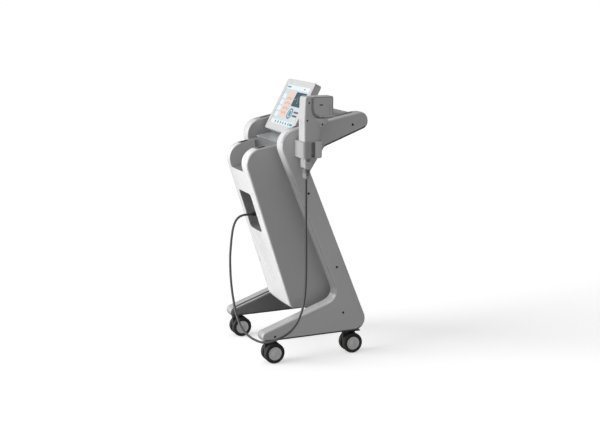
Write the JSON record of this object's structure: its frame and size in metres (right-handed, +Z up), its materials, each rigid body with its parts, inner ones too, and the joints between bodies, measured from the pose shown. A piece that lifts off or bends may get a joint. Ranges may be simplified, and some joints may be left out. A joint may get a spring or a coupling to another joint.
{
  "type": "ultrasound therapy device",
  "caption": "Upright wheeled ultrasound therapy unit with Z-shaped side frames, a leaning pod, a tilting screen, and a corded handpiece with a pull-off cartridge in a side holder.",
  "frame": {"origin": "on the floor under the middle of the object's box, without its lead", "axes": "+Z up, -Y to the front where the screen faces, +X to the side with the handpiece"},
  "size_m": [0.468, 0.4753, 0.9881],
  "materials": {
    "white_shell": "satin",
    "grey_shell": "satin",
    "steel": "satin",
    "dark_plastic": "satin",
    "tray": "gloss",
    "board": "satin",
    "screen_glass": "gloss",
    "window": "gloss",
    "lead": "satin",
    "tyre": "matte"
  },
  "bodies": {
    "base": {"side_frame_right": "white_shell", "side_frame_left": "white_shell", "side_cover_right": "grey_shell", "side_cover_left": "grey_shell", "cover_screws": "dark_plastic", "chassis_plate": "steel", "chassis_bolts": "steel", "base_beam": "steel", "rear_handle": "white_shell", "top_deck": "tray", "arm_trim": "dark_plastic", "rear_cover": "white_shell", "pod_front_upper": "white_shell", "pod_front_lower": "white_shell", "pod_side_right": "grey_shell", "pod_side_left": "grey_shell", "pod_top": "grey_shell", "pod_bottom": "grey_shell", "slot_inserts": "dark_plastic", "connector_pocket": "dark_plastic", "handpiece_socket": "steel", "power_supply": "steel", "generator_board": "board", "fan_frame": "dark_plastic", "mains_inlet": "dark_plastic", "screen_bracket": "grey_shell", "hinge_pin": "steel", "holder": "grey_shell", "holder_screws": "steel", "cable": "lead", "cable_plug": "dark_plastic"},
    "screen": {"screen_back": "grey_shell", "screen_bezel": "white_shell", "screen_glass": "screen_glass", "screen_panel": "dark_plastic"},
    "handpiece": {"handpiece_shell_right": "grey_shell", "handpiece_shell_left": "grey_shell", "handpiece_screws": "dark_plastic", "handpiece_drive": "steel", "handpiece_neck": "grey_shell", "cable_boot": "grey_shell"},
    "cartridge": {"cartridge": "grey_shell", "cartridge_window": "window"},
    "fan": {"fan_rotor": "dark_plastic"},
    "rocker": {"power_switch": "dark_plastic"},
    "caster_front_right": {"caster_front_right": "dark_plastic"},
    "wheel_front_right_outer": {"wheel_front_right_outer": "tyre"},
    "wheel_front_right_inner": {"wheel_front_right_inner": "tyre"},
    "caster_front_left": {"caster_front_left": "dark_plastic"},
    "wheel_front_left_outer": {"wheel_front_left_outer": "tyre"},
    "wheel_front_left_inner": {"wheel_front_left_inner": "tyre"},
    "caster_rear_right": {"caster_rear_right": "dark_plastic"},
    "wheel_rear_right_outer": {"wheel_rear_right_outer": "tyre"},
    "wheel_rear_right_inner": {"wheel_rear_right_inner": "tyre"},
    "brake_pedal_right": {"brake_pedal_right": "dark_plastic"},
    "caster_rear_left": {"caster_rear_left": "dark_plastic"},
    "wheel_rear_left_outer": {"wheel_rear_left_outer": "tyre"},
    "wheel_rear_left_inner": {"wheel_rear_left_inner": "tyre"},
    "brake_pedal_left": {"brake_pedal_left": "dark_plastic"}
  },
  "joints": [
    {"name": "screen_tilt", "type": "hinge", "parent": "base", "child": "screen", "pos_m": [-0.037, 0.00925, 0.8433], "axis": [1, 0, 0], "range_deg": [-20, 8]},
    {"name": "handpiece_lift", "type": "slide", "parent": "base", "child": "handpiece", "axis": [0, 0, 1], "range_m": [0, 0.15], "deforming": ["cable"]},
    {"name": "cartridge_pull", "type": "slide", "parent": "handpiece", "child": "cartridge", "axis": [0, 1, 0], "range_m": [0, 0.04]},
    {"name": "power_rocker", "type": "hinge", "parent": "base", "child": "rocker", "pos_m": [-0.037, 0.1594, 0.24701], "axis": [1, 0, 0], "range_deg": [0, 16]},
    {"name": "fan_spin", "type": "hinge", "parent": "base", "child": "fan", "pos_m": [-0.037, -0.00738, 0.60571], "axis": [0, 0.9282, 0.3722], "continuous": true},
    {"name": "swivel_front_right", "type": "hinge", "parent": "base", "child": "caster_front_right", "pos_m": [0.134, -0.16354, 0.084], "axis": [0, 0, 1], "continuous": true},
    {"name": "roll_front_right_outer", "type": "hinge", "parent": "caster_front_right", "child": "wheel_front_right_outer", "pos_m": [0.1505, -0.14353, 0.0375], "axis": [1, 0, 0], "continuous": true},
    {"name": "roll_front_right_inner", "type": "hinge", "parent": "caster_front_right", "child": "wheel_front_right_inner", "pos_m": [0.1175, -0.14353, 0.0375], "axis": [1, 0, 0], "continuous": true},
    {"name": "swivel_front_left", "type": "hinge", "parent": "base", "child": "caster_front_left", "pos_m": [-0.208, -0.16354, 0.084], "axis": [0, 0, 1], "continuous": true},
    {"name": "roll_front_left_outer", "type": "hinge", "parent": "caster_front_left", "child": "wheel_front_left_outer", "pos_m": [-0.2245, -0.14353, 0.0375], "axis": [1, 0, 0], "continuous": true},
    {"name": "roll_front_left_inner", "type": "hinge", "parent": "caster_front_left", "child": "wheel_front_left_inner", "pos_m": [-0.1915, -0.14353, 0.0375], "axis": [1, 0, 0], "continuous": true},
    {"name": "swivel_rear_right", "type": "hinge", "parent": "base", "child": "caster_rear_right", "pos_m": [0.134, 0.14447, 0.084], "axis": [0, 0, 1], "continuous": true},
    {"name": "roll_rear_right_outer", "type": "hinge", "parent": "caster_rear_right", "child": "wheel_rear_right_outer", "pos_m": [0.1505, 0.16447, 0.0375], "axis": [1, 0, 0], "continuous": true},
    {"name": "roll_rear_right_inner", "type": "hinge", "parent": "caster_rear_right", "child": "wheel_rear_right_inner", "pos_m": [0.1175, 0.16447, 0.0375], "axis": [1, 0, 0], "continuous": true},
    {"name": "brake_right", "type": "hinge", "parent": "caster_rear_right", "child": "brake_pedal_right", "pos_m": [0.134, 0.17247, 0.0797], "axis": [-1, 0, 0], "range_deg": [0, 18]},
    {"name": "swivel_rear_left", "type": "hinge", "parent": "base", "child": "caster_rear_left", "pos_m": [-0.208, 0.14447, 0.084], "axis": [0, 0, 1], "continuous": true},
    {"name": "roll_rear_left_outer", "type": "hinge", "parent": "caster_rear_left", "child": "wheel_rear_left_outer", "pos_m": [-0.2245, 0.16447, 0.0375], "axis": [1, 0, 0], "continuous": true},
    {"name": "roll_rear_left_inner", "type": "hinge", "parent": "caster_rear_left", "child": "wheel_rear_left_inner", "pos_m": [-0.1915, 0.16447, 0.0375], "axis": [1, 0, 0], "continuous": true},
    {"name": "brake_left", "type": "hinge", "parent": "caster_rear_left", "child": "brake_pedal_left", "pos_m": [-0.208, 0.17247, 0.0797], "axis": [-1, 0, 0], "range_deg": [0, 18]}
  ]
}
